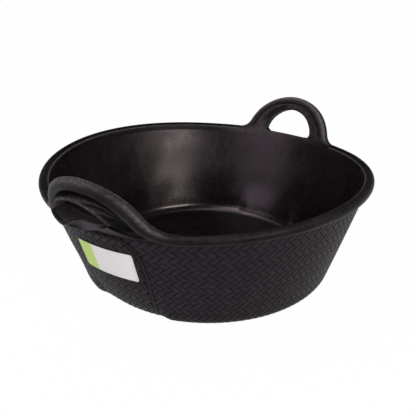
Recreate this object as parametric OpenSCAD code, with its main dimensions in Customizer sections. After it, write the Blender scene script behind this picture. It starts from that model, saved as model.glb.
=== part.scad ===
// Rubber feed tub: a laid-up corded rubber tub with a rolled rim and two loop handles.
// Millimetres, +Z up, origin at the middle of the foot, handles on the X axis.

/* [Bowl] */
// Outside diameter over the rolled rim
rim_d = 450; // [430:1:480]
// Height of the rim above the ground
rim_h = 150; // [140:1:165]
// Outside diameter of the wall, carried on down to the ground
base_d = 342; // [325:1:355]
// Outside radius of the corner between the wall and the foot
corner_r = 22; // [18:0.5:28]
// Thickness of the smooth inner sheet
liner_t = 2.6; // [2:0.1:3.5]
// Thickness of the cord fabric
cord_t = 1.4; // [1:0.1:2]
// Thickness of the outer sheet and the sole
cover_t = 3.2; // [2.5:0.1:4]

/* [Rim] */
// Diameter of the rolled edge
bead_d = 12; // [11:0.5:13]
// How far the rolled edge stands out from the wall
bead_stand = 6.5; // [6:0.5:7.5]
// Depth of the rim strip over the top of the wall
cap_depth = 10; // [9:0.5:11]
// Radius of the inner edge of the rim
lip_r = 2.5; // [1.5:0.1:3]
// How far the inner edge lies below the top of the roll
lip_drop = 2.5; // [1.5:0.1:3]
// Diameter of the rope inside the rim
rope_d = 4.4; // [4:0.1:4.6]
// Room round the rope
rope_room = 0.2; // [0.15:0.05:0.3]
// How far the rope lies out from the middle of the roll
rope_shift = 2.4; // [2.3:0.1:2.6]

/* [Handles] */
// Outward lean of the handles, degrees
handle_lean = 13; // [11:0.5:16]
// How far each handle is set round the rim towards the front, degrees
handle_turn = 2; // [0:0.5:3]
// Height of the middle of the roll over the rim, along the lean
arch_top = 57; // [56:0.5:59]
// Radius of the arch along the middle of the roll
arch_r = 68.5; // [65:0.5:72]
// Radius of the sweep from the rim up into the arch
root_r = 28; // [24:0.5:32]
// Diameter of the roll at the top of the handle
roll_d = 15; // [14:0.5:16]
// How far the inner plate stays below the outside of the roll at the top
plate_drop = 5; // [4:0.5:6]
// How far the inner plate stays below the roll where it meets the rim
plate_end_drop = 1.2; // [1:0.1:1.5]
// Radius of the hand hole
hole_r = 41; // [40:0.5:42]
// Height of the middle of that radius over the middle of the rim roll
hole_rise = 3; // [2:0.1:4]
// Height of the foot of the hand hole over the middle of the rim roll
hole_foot = 6; // [5.6:0.1:6.4]
// Radius of the lower corners of the hand hole
hole_corner_r = 7; // [5:0.5:9]
// Stand-out of the welt round the hand hole
welt_out = 12; // [11.5:0.5:13]
// Radius of the lip of the welt
welt_r = 3.2; // [2.8:0.1:3.6]
// Depth of the furrow between the welt and the roll
furrow = 2; // [1:0.1:2.5]
// Stand-out of the welt where it is the sill of the hand hole
sill_out = 4.6; // [4:0.1:5]
// Radius of the lip of the sill
sill_r = 1.5; // [1:0.1:1.9]
// How far the lip of the sill lies below the foot of the hole
sill_drop = 1.6; // [1:0.1:2]
// Height of the sill strip
sill_h = 9.5; // [8.5:0.1:9.8]

/* [Patches] */
// Thickness of the handle patch
patch_t = 1.5; // [1:0.1:2]
// Width of the patch at its middle
patch_w = 102; // [98:1:110]
// Width of the patch at its foot
patch_foot_w = 88; // [80:1:96]
// Height of the foot of the patch over the ground
patch_foot = 6; // [4:0.5:9]
// Height of the top of the patch
patch_top = 136; // [130:0.5:137]
// Height where the shoulders of the patch begin
shoulder_z = 100; // [94:1:106]
// Radius of the shoulders of the patch
shoulder_r = 47; // [42:1:48]

/* [Label] */
// Width of the label
label_w = 80; // [72:1:84]
// Height of the label as it is seen from the side
label_h = 44; // [38:1:46]
// Height of the middle of the label
label_z = 90; // [87:0.5:92]
// Place of the middle of the label along the wall, off the middle of the patch
label_y = 2.5; // [0:0.5:4]
// Tilt of the label, degrees
label_tilt = -2; // [-4:0.5:4]
// Corner radius of the label
label_r = 3; // [2:0.5:4]
// Thickness of the label
label_t = 0.3; // [0.2:0.05:0.4]
// Thickness of the glue film under the label
glue_t = 0.2; // [0.15:0.05:0.3]

/* [Hidden] */
// Sides of a round shape
$fn = 96;
// Run past a face that a cut goes through
overrun = 2;
// Share of a whole that is half of it
half_share = 0.5;

// Wall thickness and its lines
wall_t = liner_t + cord_t + cover_t;
bead_r = bead_d * half_share;
bead_z = rim_h - bead_r;
bead_mid = rim_d * half_share - bead_r;
wall_top = rim_h - cap_depth;
slope = atan2(rim_d * half_share - bead_stand - base_d * half_share, bead_z);
corner_mid = base_d * half_share + corner_r * tan(slope) - corner_r / cos(slope);
reach = rim_d;

// Radius of the wall at a height z and a depth d under the outer face
function wall_r(z, d) = base_d * half_share + z * tan(slope) - d / cos(slope);

// Rim edge
lip_z = rim_h - lip_drop - lip_r;
lip_mid = wall_r(lip_z, wall_t) + lip_r / cos(slope);
rope_r = rope_d * half_share;

// Line of the handle roll, along the rim (s) and up the lean (u)
roll_r = roll_d * half_share;
arch_mid = arch_top - arch_r;
root_s = sqrt(pow(arch_r + root_r, 2) - pow(root_r - arch_mid, 2));
turn = atan2(root_s, root_r - arch_mid);
end_angle = root_s / bead_mid * 180 / PI;
root_steps = 8;
arch_steps = 26;
rim_steps = 36;
roll_sides = 16;
rope_sides = 8;

// The outer face of the inner plate, measured out from the middle of the roll
plate_out = (wall_r(wall_top, 0) - bead_mid) * cos(handle_lean) - (wall_top - bead_z) * sin(handle_lean);

// One step of the line: place s, u, the way out of the hand hole, and the share of the full roll
function root_at(g) = [-root_s + root_r * sin(g), root_r - root_r * cos(g), -sin(g), cos(g), g / turn];
function arch_at(b) = [arch_r * sin(b), arch_mid + arch_r * cos(b), sin(b), cos(b), 1];
function flip(p) = [-p[0], p[1], -p[2], p[3], p[4]];
root_line = [for (i = [0:root_steps - 1]) root_at(turn * i / root_steps)];
arch_line = [for (i = [0:arch_steps]) arch_at(turn * (2 * i / arch_steps - 1))];
roll_line = concat(root_line, arch_line, [for (i = [root_steps - 1:-1:0]) flip(root_line[i])]);

// A point s along the rim, u up the lean and n out of the plate
function on_lean(s, u, n) =
    let (turned = s / bead_mid * 180 / PI,
         r = bead_mid + u * sin(handle_lean) + n * cos(handle_lean))
    [r * cos(turned), r * sin(turned), bead_z + u * cos(handle_lean) - n * sin(handle_lean)];

function rise(t) = t * t * (3 - 2 * t);
function mix(a, b, t) = a + (b - a) * t;

// Ring of points round one step of the line, cut flat at the plate
function roll_ring(p, r) =
    [for (k = [0:roll_sides - 1])
        let (a = 360 * k / roll_sides, n = max(r * cos(a), plate_out), v = r * sin(a))
        on_lean(p[0] + v * p[2], p[1] + v * p[3], n)];

function rope_ring(p, r, sides) =
    [for (k = [0:sides - 1])
        let (a = 360 * k / sides, n = rope_shift + r * cos(a), v = r * sin(a))
        on_lean(p[0] + v * p[2], p[1] + v * p[3], n)];

// Faces between rings of m points
function skin(first, rings, m) =
    [for (i = [0:rings - 2]) for (k = [0:m - 1])
        let (a = first + i * m + k, b = first + i * m + (k + 1) % m)
        each [[a, b, b + m], [a, b + m, a + m]]];
function turn_over(faces) = [for (f = faces) [f[0], f[2], f[1]]];

// Bowl filled up to a depth d under the outer face
module bowl_2d(d, top) {
    translate([corner_mid, corner_r]) circle(corner_r - d);
    polygon([
        [0, d],
        [corner_mid, d],
        [corner_mid + (corner_r - d) * cos(slope), corner_r - (corner_r - d) * sin(slope)],
        [wall_r(top, d), top],
        [0, top]]);
}

// Sheet between two depths, outside the flat of the foot
module sheet_2d(near, far) {
    difference() {
        bowl_2d(near, wall_top);
        bowl_2d(far, wall_top + overrun);
        square([corner_mid, wall_top]);
    }
}

module rim_2d() {
    difference() {
        union() {
            translate([bead_mid, bead_z]) circle(bead_r);
            translate([lip_mid, lip_z]) circle(lip_r);
            polygon([
                [wall_r(wall_top, wall_t), wall_top],
                [wall_r(wall_top, 0), wall_top],
                [bead_mid, bead_z],
                [bead_mid, rim_h],
                [lip_mid, lip_z + lip_r],
                [lip_mid - lip_r * cos(slope), lip_z + lip_r * sin(slope)]]);
        }
        polygon([
            [0, 0],
            [wall_r(0, 0), 0],
            [wall_r(wall_top, 0), wall_top],
            [0, wall_top]]);
        translate([bead_mid + rope_shift * cos(handle_lean), bead_z - rope_shift * sin(handle_lean)])
            circle(rope_r + rope_room);
    }
}

// Shape seen from the side of the handle, run out along +X
module along_x() {
    rotate([90, 0, 90]) linear_extrude(height = reach) children();
}

// Seen from the side: a place s, u on the lean as y and z
function side_view(s, u) = let (p = on_lean(s, u, plate_out)) [p[1], p[2]];

plate_line = [for (p = roll_line)
    let (r = mix(bead_r - plate_end_drop, roll_r - plate_drop, rise(p[4])))
    side_view(p[0] + r * p[2], p[1] + r * p[3])];

// Outline of the hand hole: where it stands, which way is out of it
hole_low = hole_foot + hole_corner_r;
hole_turn = asin((hole_low - hole_rise) / hole_r);
hole_side = hole_r * cos(hole_turn) - hole_corner_r;
hole_steps = 22;
corner_steps = 4;
foot_steps = 8;
function over_at(i) =
    let (a = mix(180 - hole_turn, hole_turn, i / hole_steps))
    [hole_r * cos(a), hole_rise + hole_r * sin(a), cos(a), sin(a)];
function corner_at(a) =
    [hole_side + hole_corner_r * cos(a), hole_low - hole_corner_r * sin(a), cos(a), -sin(a)];
over_line = [for (i = [0:hole_steps]) over_at(i)];
corner_line = [for (i = [1:corner_steps]) corner_at(90 * i / corner_steps)];
foot_line = [for (i = [1:foot_steps - 1]) [hole_side * (1 - 2 * i / foot_steps), hole_foot, 0, -1]];
far_corner = [for (i = [corner_steps:-1:1]) let (p = corner_line[i - 1]) [-p[0], p[1], -p[2], p[3]]];
hole_line = concat(over_line, corner_line, foot_line, far_corner);

module one_tongue() {
    plate_up = arch_top + roll_r;
    low_in = [wall_r(wall_top, wall_t), wall_top];
    low_out = [wall_r(wall_top, 0), wall_top];
    up = [plate_up * sin(handle_lean), plate_up * cos(handle_lean)];
    difference() {
        intersection() {
            rotate([0, 0, -end_angle])
                rotate_extrude(angle = 2 * end_angle)
                    polygon([low_in, low_out, low_out + up, low_in + up]);
            along_x() polygon(concat(
                [[-reach, 0], [-reach, plate_line[0][1]]],
                plate_line,
                [[reach, plate_line[0][1]], [reach, 0]]));
        }
        along_x() polygon([for (p = hole_line) side_view(p[0], p[1])]);
    }
}

module one_roll() {
    m = roll_sides;
    count = len(roll_line);
    outer = [for (p = roll_line) each roll_ring(p, mix(bead_r, roll_r, rise(p[4])))];
    inner = [for (p = roll_line) each rope_ring(p, rope_r + rope_room, m)];
    all = count * m;
    last = all - m;
    ends = [for (k = [0:m - 1])
        let (j = (k + 1) % m)
        each [[k, all + k, all + j], [k, all + j, j],
              [last + k, last + j, all + last + j], [last + k, all + last + j, all + last + k]]];
    polyhedron(concat(outer, inner),
        concat(skin(0, count, m), turn_over(skin(all, count, m)), ends), convexity = 6);
}

// One unbroken rope: over a handle, along the rim, over the other handle and back
half_way = bead_mid * PI;
turn_way = half_way * handle_turn / 180;
function moved_on(line, way) = [for (p = line) [p[0] + way, p[1], p[2], p[3], p[4]]];
function rim_run(first, last) =
    [for (i = [1:rim_steps - 1]) [mix(first, last, i / rim_steps), 0, 0, 1, 0]];
rope_line = concat(
    moved_on(roll_line, -turn_way),
    rim_run(root_s - turn_way, half_way + turn_way - root_s),
    moved_on(roll_line, half_way + turn_way),
    rim_run(half_way + turn_way + root_s, 2 * half_way - turn_way - root_s));

module whole_rope() {
    points = [for (p = rope_line) each rope_ring(p, rope_r, rope_sides)];
    m = rope_sides;
    count = len(points) / m;
    closing = [for (k = [0:m - 1])
        let (a = (count - 1) * m + k, b = (count - 1) * m + (k + 1) % m)
        each [[a, b, (k + 1) % m], [a, (k + 1) % m, k]]];
    polyhedron(points, concat(skin(0, count, m), closing), convexity = 8);
}

// Section of the welt over the hole: from the plate out to the lip and back along the roll
lip_angles = [-90:45:90];
roll_angles = [50, 25, 0];
function welt_high(w) = concat(
    [[plate_out, 0], [welt_out - 2 * welt_r, 0]],
    [for (a = lip_angles) [welt_out - welt_r + welt_r * cos(a), welt_r + welt_r * sin(a)]],
    let (up = (2 * welt_r + w - roll_r * cos(roll_angles[0])) * half_share,
         out = (welt_out - welt_r + roll_r * sin(roll_angles[0])) * half_share - furrow)
    [[max(out, sqrt(max(0, roll_r * roll_r - (w - up) * (w - up)))), up]],
    [for (a = roll_angles) [roll_r * sin(a), w - roll_r * cos(a)]],
    [[plate_out, w - sqrt(roll_r * roll_r - plate_out * plate_out)]]);

// Section of the welt under the hole, where it is the sill
sill_shares = [0.8, 0.6, 0.4, 0.2];
function welt_low() = concat(
    [[plate_out, sill_drop * half_share], [sill_out - 2 * sill_r, sill_drop]],
    [for (a = lip_angles) [sill_out - sill_r + sill_r * cos(a), sill_drop + sill_r + sill_r * sin(a)]],
    [for (t = sill_shares)
        [mix(plate_out, sill_out - sill_r, t), mix(sill_h, sill_drop + 2 * sill_r, t)]],
    [[plate_out, sill_h]]);

// How far the section has turned from the one over the hole into the sill
side_share = 0.4;
fade_share = 0.45;
function low_share(p) =
    p[3] >= 0
        ? side_share * rise(max(0, 1 - (p[1] - hole_low) / (hole_r * fade_share)))
        : mix(side_share, 1, rise(-p[3]));

// The roll seen from a place on the hole: the nearest place on its arch
function roll_over(p) = arch_at(atan2(p[0], max(p[1], hole_low) - arch_mid));

function welt_ring(p) =
    let (c = roll_over(p),
         d = p[3] >= 0 ? [c[0] - p[0], c[1] - p[1]] : [p[2], p[3]] * roll_d,
         w = norm(d),
         out = d / w,
         t = low_share(p),
         high = welt_high(w),
         low = welt_low())
    [for (i = [0:len(high) - 1])
        let (h = high[i] * (1 - t) + low[i] * t)
        on_lean(p[0] + h[1] * out[0], p[1] + h[1] * out[1], h[0])];

module one_welt() {
    rings = [for (p = hole_line) welt_ring(p)];
    m = len(rings[0]);
    count = len(rings);
    points = [for (r = rings) each r];
    closing = [for (k = [0:m - 1])
        let (a = (count - 1) * m + k, b = (count - 1) * m + (k + 1) % m)
        each [[a, b, (k + 1) % m], [a, (k + 1) % m, k]]];
    polyhedron(points, concat(skin(0, count, m), closing), convexity = 8);
}

module patch_2d() {
    middle = patch_w * half_share - shoulder_r;
    intersection() {
        union() {
            polygon([
                [-patch_foot_w * half_share, patch_foot],
                [patch_foot_w * half_share, patch_foot],
                [patch_w * half_share, patch_top * half_share],
                [patch_w * half_share, shoulder_z],
                [-patch_w * half_share, shoulder_z],
                [-patch_w * half_share, patch_top * half_share]]);
            translate([-middle, shoulder_z]) square([2 * middle, shoulder_r]);
            for (i = [-1, 1]) translate([i * middle, shoulder_z]) circle(shoulder_r);
        }
        translate([-reach * half_share, 0]) square([reach, patch_top]);
    }
}

module one_patch() {
    intersection() {
        rotate([0, 0, -90]) rotate_extrude(angle = 180) difference() {
            bowl_2d(-patch_t, wall_top);
            bowl_2d(0, wall_top + overrun);
            square([corner_mid, wall_top]);
        }
        along_x() patch_2d();
    }
}

module label_2d() {
    w = label_w * half_share - label_r;
    h = label_h * half_share - label_r;
    square([2 * w, 2 * h + 2 * label_r], center = true);
    square([2 * w + 2 * label_r, 2 * h], center = true);
    for (i = [-1, 1]) for (j = [-1, 1]) translate([i * w, j * h]) circle(label_r);
}

// Rim between the handles, longer at each end by an angle
module rim_arc(more) {
    rotate([0, 0, end_angle - more]) rotate_extrude(angle = 180 - 2 * end_angle + 2 * more) rim_2d();
}

// Places of the two handles
module on_right() {
    rotate([0, 0, -handle_turn]) children();
}

module on_left() {
    mirror([1, 0, 0]) on_right() children();
}

module half_cover() {
    rotate_extrude(angle = 180) sheet_2d(0, cover_t);
}

module base_sole() {
    color("#1f1e20") cylinder(r = corner_mid, h = cover_t);
}

module floor_cord_ply() {
    color("#6b6258") translate([0, 0, cover_t]) cylinder(r = corner_mid, h = cord_t);
}

module floor_liner() {
    color("#1b1a1b") translate([0, 0, cover_t + cord_t]) cylinder(r = corner_mid, h = liner_t);
}

module wall_liner() {
    color("#1b1a1b") rotate_extrude() sheet_2d(cover_t + cord_t, wall_t);
}

module wall_cord_ply() {
    color("#6b6258") rotate_extrude() sheet_2d(cover_t, cover_t + cord_t);
}

module front_wall_cover() {
    color("#2b292c") mirror([0, 1, 0]) half_cover();
}

module rear_wall_cover() {
    color("#2b292c") half_cover();
}

module left_handle_patch() {
    color("#2f2d30") on_left() one_patch();
}

module right_handle_patch() {
    color("#2f2d30") on_right() one_patch();
}

module front_rim_bead() {
    color("#28262a") mirror([0, 1, 0]) rim_arc(-handle_turn);
}

module rear_rim_bead() {
    color("#28262a") rim_arc(handle_turn);
}

module rim_rope() {
    color("#a08f6c") whole_rope();
}

module left_handle_tongue() {
    color("#232224") on_left() one_tongue();
}

module right_handle_tongue() {
    color("#232224") on_right() one_tongue();
}

module left_handle_roll() {
    color("#29272b") on_left() one_roll();
}

module right_handle_roll() {
    color("#29272b") on_right() one_roll();
}

module left_handle_welt() {
    color("#252326") on_left() one_welt();
}

module right_handle_welt() {
    color("#252326") on_right() one_welt();
}

module label() {
    color("#f2f2ee") on_left() intersection() {
        rotate([0, 0, -90]) rotate_extrude(angle = 180) difference() {
            bowl_2d(-patch_t - glue_t - label_t, wall_top);
            bowl_2d(-patch_t - glue_t, wall_top + overrun);
            square([corner_mid, wall_top]);
        }
        along_x() translate([label_y, label_z]) rotate(label_tilt) label_2d();
    }
}

base_sole();
floor_cord_ply();
floor_liner();
wall_liner();
wall_cord_ply();
front_wall_cover();
rear_wall_cover();
left_handle_patch();
right_handle_patch();
front_rim_bead();
rear_rim_bead();
rim_rope();
left_handle_tongue();
right_handle_tongue();
left_handle_roll();
right_handle_roll();
left_handle_welt();
right_handle_welt();
label();
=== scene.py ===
# Rubber feed tub: the looks of the tub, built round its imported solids.
import math
from types import SimpleNamespace

import bmesh
import bpy
import numpy as np
from mathutils import Matrix, Vector


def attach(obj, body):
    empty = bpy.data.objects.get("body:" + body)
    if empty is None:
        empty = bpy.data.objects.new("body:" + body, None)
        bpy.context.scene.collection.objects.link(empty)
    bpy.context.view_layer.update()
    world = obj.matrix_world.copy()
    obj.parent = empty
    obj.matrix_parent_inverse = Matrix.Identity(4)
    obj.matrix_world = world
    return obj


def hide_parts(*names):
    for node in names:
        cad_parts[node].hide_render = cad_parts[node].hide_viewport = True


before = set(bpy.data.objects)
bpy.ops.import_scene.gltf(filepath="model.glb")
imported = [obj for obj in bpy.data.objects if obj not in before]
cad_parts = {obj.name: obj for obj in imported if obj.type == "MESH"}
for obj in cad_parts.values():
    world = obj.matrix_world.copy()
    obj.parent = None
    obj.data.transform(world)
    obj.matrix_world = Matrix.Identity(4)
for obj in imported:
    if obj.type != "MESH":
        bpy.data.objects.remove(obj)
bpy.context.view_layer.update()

# Sizes of the tub in millimetres, where the solids have them the same as there
MM = 0.001
BASE_R = 171.0
WALL_TOP = 140.0
CORNER_R = 22.0
LINER_T = 2.6
CORD_T = 1.4
COVER_T = 3.2
WALL_T = LINER_T + CORD_T + COVER_T
BEAD_R = 6.0
BEAD_Z = 144.0
BEAD_MID = 219.0
SLOPE = math.atan2(218.5 - BASE_R, BEAD_Z)
SIN = math.sin(SLOPE)
COS = math.cos(SLOPE)
TAN = math.tan(SLOPE)
CORNER_MID = BASE_R + CORNER_R * TAN - CORNER_R / COS
TOP_R = BASE_R + WALL_TOP * TAN
SLANT = (WALL_TOP - CORNER_R + CORNER_R * SIN) / COS
WALL_END = SLANT + (math.pi / 2 - SLOPE) * CORNER_R
LIP_R = 2.5
LIP_Z = 145.0
LIP_MID = BASE_R + LIP_Z * TAN - WALL_T / COS + LIP_R / COS
VALLEY_Z = 147.4
VALLEY_RISE = 2.2

# Handles
LEAN = math.radians(13.0)
SIN_LEAN = math.sin(LEAN)
COS_LEAN = math.cos(LEAN)
ARCH_TOP = 57.0
ARCH_R = 68.5
ARCH_MID = ARCH_TOP - ARCH_R
ROOT_R = 28.0
ROLL_R = 7.5
ROOT_S = math.sqrt((ARCH_R + ROOT_R) ** 2 - (ROOT_R - ARCH_MID) ** 2)
TURN = math.atan2(ROOT_S, ROOT_R - ARCH_MID)
END_ANGLE = ROOT_S / BEAD_MID
PLATE_OUT = (TOP_R - BEAD_MID) * COS_LEAN - (WALL_TOP - BEAD_Z) * SIN_LEAN
PLATE_EDGE = 2.4
PLATE_FOOT = -6.0
PLATE_FILLET = 3.2
PLATE_SOFT = 2.2
PLATE_BEND = 25.0
GROOVE_IN = 1.6
SET_ROUND = math.radians(2.0)
HOLE_CORNER_R = 7.0
WELT_OUT = 12.0
WELT_R = 3.2
SUNK_OUT = 1.8
SUNK_R = 0.8
FURROW = 2.0
RIDGES = (11.5, 16.5)
SILL_R = 0.8
BACK_END = 80.0

# Handle patches and label
PATCH_T = 1.5
PATCH_HALF = 51.0
PATCH_FOOT_HALF = 44.0
PATCH_FOOT = 6.0
PATCH_TOP = 136.0
PATCH_BORDER = 5.0
EDGE_SQUEEZE = 1.2
SHOULDER_Z = 100.0
SHOULDER_R = 47.0
LABEL_HALF_W = 41.0
LABEL_HALF_H = 22.0
LABEL_Z = 91.0
LABEL_Y = 0.8
LABEL_TILT = math.radians(-2.0)
LABEL_R = 3.0

# Pressed plait: strips that cross at an angle, each pad two strips long
PLAIT_COLUMNS = 120
PLAIT_PITCH = 10.2
PLAIT_SQUEEZE = 0.98
PLAIT_GROOVE = 0.7
PLAIT_DEPTH = 0.8
PLAIN_TOP = 2.5
PLAIN_FOOT = 6.0
PLAIT_R = PLAIT_COLUMNS * PLAIT_PITCH / (2 * math.pi)

# Sag of the soft wall: wider and lower across the handles, tucked in under them, dented low at the left
SAG_OUT = 2.86
SAG_DOWN = 4.67
SAG_HEIGHT = 143.5
SAG_SKEW = 1.0
FOOT_OUT = 1.6
TUCK_IN = 8.0
TUCK_UP = 2.0
TUCK_TOP = 68.0
TUCK_HALF = 38.0
TUCK_FADE = 22.0
TUCK_R = 156.0
DENT_IN = 2.6
DENT_TURN = 2.2
DENT_WIDE = 0.45
DENT_TOP = 80.0
DENT_R = 140.0
FAR_SHIFT = 3.3
FAR_STRETCH = 0.035
FAR_FOOT = 141.0
FAR_HALF = 85.0
FAR_FADE = 50.0

# What is each handle's own, since hand-laid rubber never turns out twice the same
# worn_and_sheened scales each handle's wear together with its painted highlights; on the far handle, its
# complement adds painted light to the roll and painted shade at the hole's edge
RIGHT_HAND = SimpleNamespace(
    hole_s=0.0, hole_r=41.5, hole_rise=3.0, hole_foot=4.4, sill_h=8.0, sill_out=4.6, ledge=0.5,
    front_root=28.0, front_end=60.0, front_sunk=0.15, back_flare=3.0, roll_tall=1.06, worn_and_sheened=0.35)
LEFT_HAND = SimpleNamespace(
    hole_s=6.5, hole_r=38.0, hole_rise=2.4, hole_foot=11.4, sill_h=18.0, sill_out=2.4, ledge=0.6,
    front_root=52.0, front_end=101.0, front_sunk=1.0, back_flare=10.0, roll_tall=1.14, worn_and_sheened=1.0)


# Node trees

class Wire:
    """A socket whose arithmetic adds Math nodes to its tree."""

    def __init__(self, net, socket):
        self.net = net
        self.socket = socket

    def math(self, operation, *others):
        return self.net.math(operation, self, *others)

    def __add__(self, other):
        return self.math("ADD", other)

    def __sub__(self, other):
        return self.math("SUBTRACT", other)

    def __rsub__(self, other):
        return self.net.math("SUBTRACT", other, self)

    def __mul__(self, other):
        return self.math("MULTIPLY", other)

    def __truediv__(self, other):
        return self.math("DIVIDE", other)

    def __rtruediv__(self, other):
        return self.net.math("DIVIDE", other, self)

    __radd__ = __add__
    __rmul__ = __mul__

    def __abs__(self):
        return self.math("ABSOLUTE")

    def __lt__(self, other):
        return self.math("LESS_THAN", other)

    def __gt__(self, other):
        return self.math("GREATER_THAN", other)

    def least(self, other):
        return self.math("MINIMUM", other)

    def most(self, other):
        return self.math("MAXIMUM", other)

    def root(self):
        return self.math("SQRT")

    def sine(self):
        return self.math("SINE")

    def cosine(self):
        return self.math("COSINE")

    def to(self, name):
        return Wire(self.net, self.socket.node.outputs[name])


class Net:
    """One node tree, of a finish or of a repeated form."""

    def __init__(self, tree):
        self.tree = tree

    def node(self, kind, settings=None, sockets=None, out=0):
        made = self.tree.nodes.new(kind)
        for key, value in (settings or {}).items():
            setattr(made, key, value)
        for key, value in (sockets or {}).items():
            if isinstance(value, Wire):
                self.tree.links.new(value.socket, made.inputs[key])
            else:
                made.inputs[key].default_value = value
        return Wire(self, made.outputs[out]) if made.outputs else made

    def math(self, operation, *values):
        return self.node("ShaderNodeMath", {"operation": operation}, dict(enumerate(values)))


def new_finish(name):
    finish = bpy.data.materials.new(name)
    finish.use_nodes = True
    finish.node_tree.nodes.clear()
    return finish, Net(finish.node_tree)


def placed_finish(name):
    """A new finish with the Object coordinates that its patterns lie on."""
    finish, net = new_finish(name)
    return finish, net, net.node("ShaderNodeTexCoord").to("Object")


def mix_colour(net, share, first, second):
    first = (*first, 1.0) if isinstance(first, tuple) else first
    second = (*second, 1.0) if isinstance(second, tuple) else second
    return net.node("ShaderNodeMix", {"data_type": "RGBA"}, {0: share, 6: first, 7: second}, 2)


def noise(net, place, scale, detail, roughness=0.5):
    return net.node(
        "ShaderNodeTexNoise", None,
        {"Vector": place, "Scale": scale, "Detail": detail, "Roughness": roughness})


def step_up(net, value, low, high):
    return net.node(
        "ShaderNodeMapRange", {"interpolation_type": "SMOOTHSTEP"},
        {"Value": value, "From Min": low, "From Max": high})


def stretch(net, place, scale):
    return net.node("ShaderNodeMapping", None, {"Vector": place, "Scale": scale})


def attribute(net, name):
    return net.node("ShaderNodeAttribute", {"attribute_name": name}).to("Fac")


def close_finish(net, colour, roughness, height, strength, distance, specular, tint=(1.0, 1.0, 1.0)):
    bump = net.node("ShaderNodeBump", None, {"Height": height, "Strength": strength, "Distance": distance})
    shader = net.node("ShaderNodeBsdfPrincipled", None, {
        "Base Color": colour, "Roughness": roughness, "Normal": bump, "Specular IOR Level": specular,
        "Specular Tint": (*tint, 1.0)})
    net.node("ShaderNodeOutputMaterial", None, {"Surface": shader})


# How each finish is made

def plait_rubber():
    finish, net, place = placed_finish("plait_rubber")
    relief_shade = attribute(net, "relief_shade")
    cloud = noise(net, place, 14.0, 3.0)
    patchy = noise(net, place, 75.0, 3.0)
    grain = noise(net, place, 1300.0, 2.0)
    pit = noise(net, place, 420.0, 2.0, 0.6)
    dust = step_up(net, patchy * 0.6 + pit * 0.4, 0.45, 0.72)
    # Painted shade: relief_shade is 1 on the pad tops and 0 down in the grooves, so the grooves, the pads'
    # bevels and the bare sheet get a dark shade colour and the tops a lighter lit one
    lit = relief_shade * (0.55 + 0.45 * patchy)
    body = mix_colour(net, lit, (0.0022, 0.0017, 0.0023), (0.0168, 0.0132, 0.0172))
    dusty = mix_colour(net, dust * relief_shade * 0.3, body, (0.045, 0.038, 0.044))
    colour = mix_colour(net, step_up(net, cloud, 0.35, 0.75) * 0.3, dusty, (0.0105, 0.0086, 0.0112))
    roughness = 0.4 + 0.2 * patchy + 0.3 * (1.0 - relief_shade) - 0.08 * relief_shade * pit
    height = grain * 0.5 + pit * 0.5
    close_finish(net, colour, roughness, height, 0.5, 0.0003, 0.07, (1.0, 0.8, 1.0))
    return finish


def liner_rubber(name, pale, specular):
    finish, net, place = placed_finish(name)
    wear_and_sheen = attribute(net, "wear_and_sheen")
    deep_shade = attribute(net, "deep_shade")
    sleek = attribute(net, "sleek")
    cloud = noise(net, place, 11.0, 4.0)
    streak = noise(net, stretch(net, place, (70.0, 70.0, 22.0)), 1.0, 4.0, 0.6)
    mottle = noise(net, place, 130.0, 4.0, 0.65)
    speck = step_up(net, noise(net, place, 520.0, 3.0, 0.6), 0.5, 0.7)
    grain = noise(net, place, 1500.0, 2.0)
    bloom = step_up(net, cloud * 0.35 + streak * 0.3 + mottle * 0.35, 0.38, 0.66)
    low = (0.0018 * pale, 0.0015 * pale, 0.0018 * pale)
    high = (0.005 * pale, 0.0042 * pale, 0.0042 * pale)
    body = mix_colour(net, bloom, low, high)
    spotted = mix_colour(net, speck * (0.2 + 0.8 * bloom) * 0.3, body, (0.024, 0.02, 0.0195))
    scuffed_and_sheened = mix_colour(net, wear_and_sheen * 0.45, spotted, (0.05, 0.043, 0.045))
    # Painted shade: deep_shade darkens the tongue plates where shade falls
    colour = mix_colour(net, deep_shade * 0.9, scuffed_and_sheened, (0.0018, 0.0015, 0.002))
    uneven = 0.12 * mottle + 0.1 * bloom + 0.1 * streak + 0.06 * speck
    roughness = 0.24 + uneven * (1.0 - 0.6 * sleek) + 0.25 * deep_shade - 0.05 * sleek
    height = grain * 0.3 + mottle * 0.6 + streak * 0.5
    close_finish(net, colour, roughness, height, 0.5, 0.00016, specular, (1.0, 0.84, 0.93))
    return finish


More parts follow.
